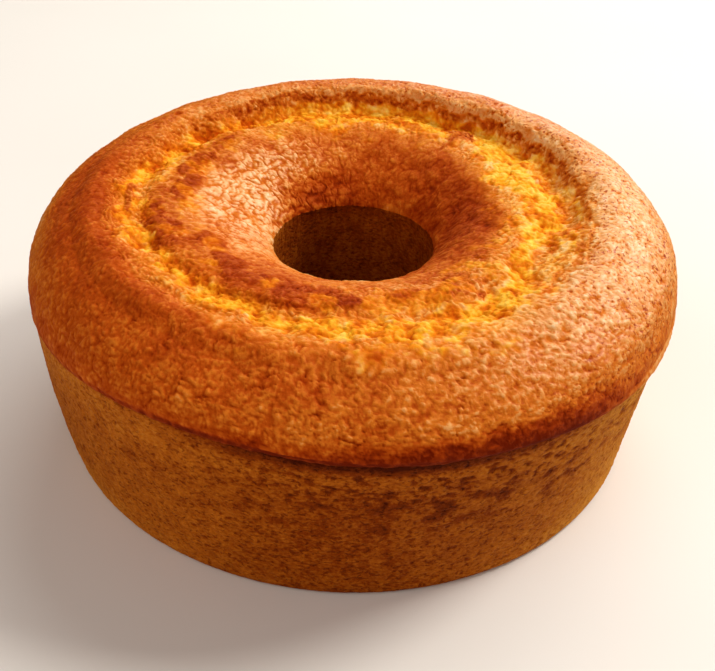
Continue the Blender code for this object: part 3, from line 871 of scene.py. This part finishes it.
class Shading:
    """A material's node tree, with a short call for each kind of node that it uses."""

    def __init__(self, name):
        self.material = bpy.data.materials.new(name)
        self.material.use_nodes = True
        self.tree = self.material.node_tree
        self.shader = self.tree.nodes["Principled BSDF"]

    def put(self, socket, value):
        """Links a node's output to a socket, or sets the socket to a plain value."""
        if isinstance(value, bpy.types.NodeSocket):
            self.tree.links.new(value, socket)
        else:
            socket.default_value = value

    def shade(self, title, value):
        """Links or sets one of the shader's own inputs."""
        self.put(self.shader.inputs[title], value)

    def node(self, kind):
        return self.tree.nodes.new("ShaderNode" + kind)

    def math(self, operation, first, second):
        node = self.node("Math")
        node.operation = operation
        self.put(node.inputs[0], first)
        self.put(node.inputs[1], second)
        return node.outputs[0]

    def swing(self, base, value, amount, middle=0.5):
        """The base, moved up or down by how far the value is from its middle."""
        away = self.math("SUBTRACT", value, middle)
        return self.math("ADD", base, self.math("MULTIPLY", away, amount))

    def mask(self, title):
        node = self.node("Attribute")
        node.attribute_name = title
        return node.outputs["Fac"]

    def spread(self, value, low, high, to_low=0.0, to_high=1.0):
        """The value's stretch from low to high as an S curve from to_low to to_high."""
        node = self.node("MapRange")
        node.interpolation_type = "SMOOTHSTEP"
        for socket, number in zip(node.inputs[:5], (value, low, high, to_low, to_high)):
            self.put(socket, number)
        return node.outputs[0]

    def places(self, flatten):
        """Where a point is. Flattened, a pattern comes out longer round the cake than it is high."""
        place = self.node("TexCoord").outputs["Object"]
        if flatten == 1:
            return place
        node = self.node("Mapping")
        self.put(node.inputs["Vector"], place)
        node.inputs["Scale"].default_value = (1 / flatten, 1 / flatten, 1)
        return node.outputs[0]

    def grain(self, spacing, detail, roughness=0.5, distortion=0.0, flatten=1.0):
        node = self.node("TexNoise")
        self.put(node.inputs["Vector"], self.places(flatten))
        numbers = {"Scale": 1 / spacing, "Detail": detail, "Roughness": roughness, "Distortion": distortion}
        for title, number in numbers.items():
            node.inputs[title].default_value = number
        return node.outputs["Fac"]

    def ramp(self, value, stops):
        """Colours along a value, from (place, display colour) stops."""
        node = self.node("ValToRGB")
        elements = node.color_ramp.elements
        while len(elements) < len(stops):
            elements.new(0.5)
        for element, (place, colour) in zip(elements, stops):
            element.position = place
            element.color = linear(*colour)
        self.put(node.inputs[0], value)
        return node.outputs[0]

    def mix(self, share, first, second):
        node = self.node("Mix")
        node.data_type = "RGBA"
        self.put(node.inputs[0], share)
        self.put(node.inputs[6], first)
        self.put(node.inputs[7], second)
        return node.outputs[2]

    def bump(self, height, distance, strength):
        node = self.node("Bump")
        node.inputs["Distance"].default_value = distance
        node.inputs["Strength"].default_value = strength
        self.put(node.inputs["Height"], height)
        return node.outputs[0]


def crust_material():
    """The baked top: brown crust from tan to nearly black, and golden open crumb."""
    paint = Shading("baked_top")
    # The bake mask holds painted light and shade as well as how dark the crust is baked.
    crumb, high, bake_light_and_shade = paint.mask("crumb"), paint.mask("high"), paint.mask("bake_light_and_shade")

    cloud = paint.grain(12 * MM, detail=3, roughness=0.6)
    speck = paint.grain(1.8 * MM, detail=3, roughness=0.65)
    pinholes = paint.spread(paint.grain(1.2 * MM, detail=1, distortion=0.8), 0.58, 0.68)
    pinholes = paint.math("MULTIPLY", pinholes, paint.math("MULTIPLY", paint.mask("pitted"), 0.4))
    tone = paint.swing(bake_light_and_shade, cloud, 0.3)
    tone = paint.swing(tone, speck, 0.38)
    tone = paint.math("ADD", tone, pinholes)
    # Painted highlight and shade: paler on top of the lumps, darker in their pits and creases.
    tone = paint.math("MAXIMUM", paint.swing(tone, high, -0.6, middle=0.55), 0.0)
    crust = paint.ramp(tone, CRUST_COLOURS)

    # The crumb is painted paler on its lumps and darker between them, as painted highlight and shade.
    crumb_tone = paint.swing(paint.swing(0.5, high, 0.6), speck, 0.5)
    crumb_tone = paint.swing(crumb_tone, cloud, 0.8)
    crumb_tone = paint.swing(crumb_tone, bake_light_and_shade, -0.8, middle=0.25)
    open_crumb = paint.ramp(crumb_tone, CRUMB_COLOURS)
    paint.shade("Base Color", paint.mix(crumb, crust, open_crumb))

    # Smoother on top of the lumps, and rougher in the crumb and where it is baked dark.
    roughness = paint.spread(high, 0.3, 0.75, to_low=0.75, to_high=0.34)
    roughness = paint.swing(roughness, speck, 0.2)
    roughness = paint.math("ADD", roughness, paint.math("MULTIPLY", crumb, 0.15))
    roughness = paint.math("ADD", roughness, paint.spread(bake_light_and_shade, 0.45, 0.65, to_high=0.3))
    paint.shade("Roughness", roughness)
    paint.shade("Coat Weight", paint.math("MULTIPLY", paint.mask("gloss"), 0.7))
    paint.shade("Coat Roughness", 0.38)

    relief = paint.swing(paint.grain(0.8 * MM, detail=3, roughness=0.65), pinholes, -1.0)
    paint.shade("Normal", paint.bump(relief, distance=0.4 * MM, strength=0.6))
    finish_food(paint)
    return paint.material


def side_material():
    """The tin-baked side, the base and the hole's wall: matt brown with fine darker pores."""
    paint = Shading("tin_baked_side")
    # The bake mask holds painted light and shade as well as how dark the side is baked.
    high, bake_light_and_shade = paint.mask("high"), paint.mask("bake_light_and_shade")
    cloud = paint.grain(10 * MM, detail=4, roughness=0.6)
    speck = paint.grain(0.95 * MM, detail=3, roughness=0.6, flatten=1.4)
    pores = paint.spread(paint.grain(1.3 * MM, detail=1, distortion=0.6, flatten=1.5), 0.56, 0.68)
    tone = paint.swing(bake_light_and_shade, cloud, 0.3)
    tone = paint.swing(tone, speck, 0.6)
    tone = paint.math("ADD", tone, paint.math("MULTIPLY", pores, 0.16))
    # Paler on the raised grain and darker in the flecks' grooves: painted highlight and shade.
    tone = paint.math("MAXIMUM", paint.swing(tone, high, -0.25, middle=0.6), 0.0)
    paint.shade("Base Color", paint.ramp(tone, SIDE_COLOURS))
    paint.shade("Roughness", paint.spread(speck, 0.3, 0.7, to_low=0.62, to_high=0.82))
    relief = paint.swing(speck, pores, -0.8)
    paint.shade("Normal", paint.bump(relief, distance=0.5 * MM, strength=0.8))
    finish_food(paint)
    return paint.material


def finish_food(paint):
    """What is the same all over a baked surface: a warm sheen, and light that sinks in a little."""
    paint.shade("Specular IOR Level", 0.09)
    paint.shade("Specular Tint", (1, 0.65, 0.35, 1))
    paint.shade("Subsurface Weight", 0.08)
    paint.shade("Subsurface Radius", (1.0, 0.45, 0.12))
    paint.shade("Subsurface Scale", 2 * MM)


def floor_material():
    """A matt floor, nearly white, with very faint clouds."""
    paint = Shading("pale_floor")
    cloud = paint.grain(300 * MM, detail=3)
    paint.shade("Base Color", paint.ramp(cloud, FLOOR_COLOURS))
    paint.shade("Roughness", 0.8)
    paint.shade("Specular IOR Level", 0.2)
    return paint.material


# ---- the scene


def add_cake():
    """The cake in five bands that share their end rows: the slope to the hole, the tear, the outer crust, the
    side, and the base with the hole's wall."""
    cake = Cake()
    top = np.flatnonzero(cake.is_top)
    side = np.flatnonzero(~cake.is_top)
    found_top = relieved_top(cake, top)
    found_side = relieved_side(cake, side)
    masks = {title: np.zeros(len(cake.points)) for title in found_top}
    for title, values in masks.items():
        values[top], values[side] = found_top[title], found_side[title]
    cake.points = kept_in_box(cake.points)
    tear_start, tear_end = FUNNEL_STEPS, FUNNEL_STEPS + TEAR_STEPS
    side_start, side_end = cake.top_rows - 1, cake.top_rows + SIDE_STEPS
    crust, side_look = crust_material(), side_material()
    bands = (("funnel_crust", np.arange(tear_start + 1), crust),
             ("torn_crumb", np.arange(tear_start, tear_end + 1), crust),
             ("outer_crust", np.arange(tear_end, cake.top_rows), crust),
             ("baked_side", np.arange(side_start, side_end), side_look),
             ("base_and_hole", np.append(np.arange(side_end - 1, cake.rows), 0), side_look))
    for name, rows, material in bands:
        shown = {title: cake.part(rows, values) for title, values in masks.items()}
        piece = mesh_piece(name, cake.part(rows, cake.points), band_faces(len(rows)), shown)
        piece.data.materials.append(material)
        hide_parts(CAKE_NODE)
        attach(piece, "root")


def add_floor():
    bpy.ops.mesh.primitive_plane_add(size=FLOOR_SIZE)
    floor = bpy.context.object
    floor.name = "floor"
    floor.visible_glossy = False
    floor.data.materials.append(floor_material())


def add_lights():
    """Round soft lights that all face the cake, in a dim warm room."""
    for name, place, size, power, colour, glossy in LIGHTS:
        data = bpy.data.lights.new(name, "AREA")
        data.shape, data.size, data.energy, data.color = "DISK", size, power, colour
        light = add_object(name, data)
        light.location = place
        light.visible_glossy = glossy
        light.rotation_euler = (Vector(place) - Vector(LIGHT_AIM)).to_track_quat("Z", "Y").to_euler()
    world = bpy.data.worlds.new("soft_room")
    world.use_nodes = True
    background = world.node_tree.nodes["Background"]
    background.inputs["Color"].default_value = ROOM_COLOUR
    background.inputs["Strength"].default_value = ROOM_STRENGTH
    world.cycles_visibility.glossy = False
    bpy.context.scene.world = world


def add_camera():
    """The camera at the photograph's angle: raised over the cake, pitched up, turned and rolled a little."""
    elevation = math.radians(CAMERA_ELEVATION)
    tilt = elevation - math.radians(CAMERA_PITCH_UP)
    yaw, roll = math.radians(CAMERA_YAW), math.radians(CAMERA_ROLL)
    place = Vector((0, -math.cos(elevation), math.sin(elevation))) * CAMERA_DISTANCE
    forward = Vector((math.sin(yaw) * math.cos(tilt), math.cos(yaw) * math.cos(tilt), -math.sin(tilt)))
    right = Vector((math.cos(yaw), -math.sin(yaw), 0))
    up = right.cross(forward)
    rolled_right = right * math.cos(roll) + up * math.sin(roll)
    rolled_up = up * math.cos(roll) - right * math.sin(roll)
    data = bpy.data.cameras.new("camera")
    data.sensor_fit, data.sensor_width, data.lens = "HORIZONTAL", SENSOR_MM, LENS_MM
    data.clip_start = CLIP_START
    camera = add_object("camera", data)
    axes = Matrix((rolled_right, rolled_up, -forward)).transposed()
    camera.matrix_world = Matrix.Translation(place) @ axes.to_4x4()
    bpy.context.scene.camera = camera


add_camera()
add_cake()
add_floor()
add_lights()
bpy.context.scene.view_settings.view_transform = "Standard"
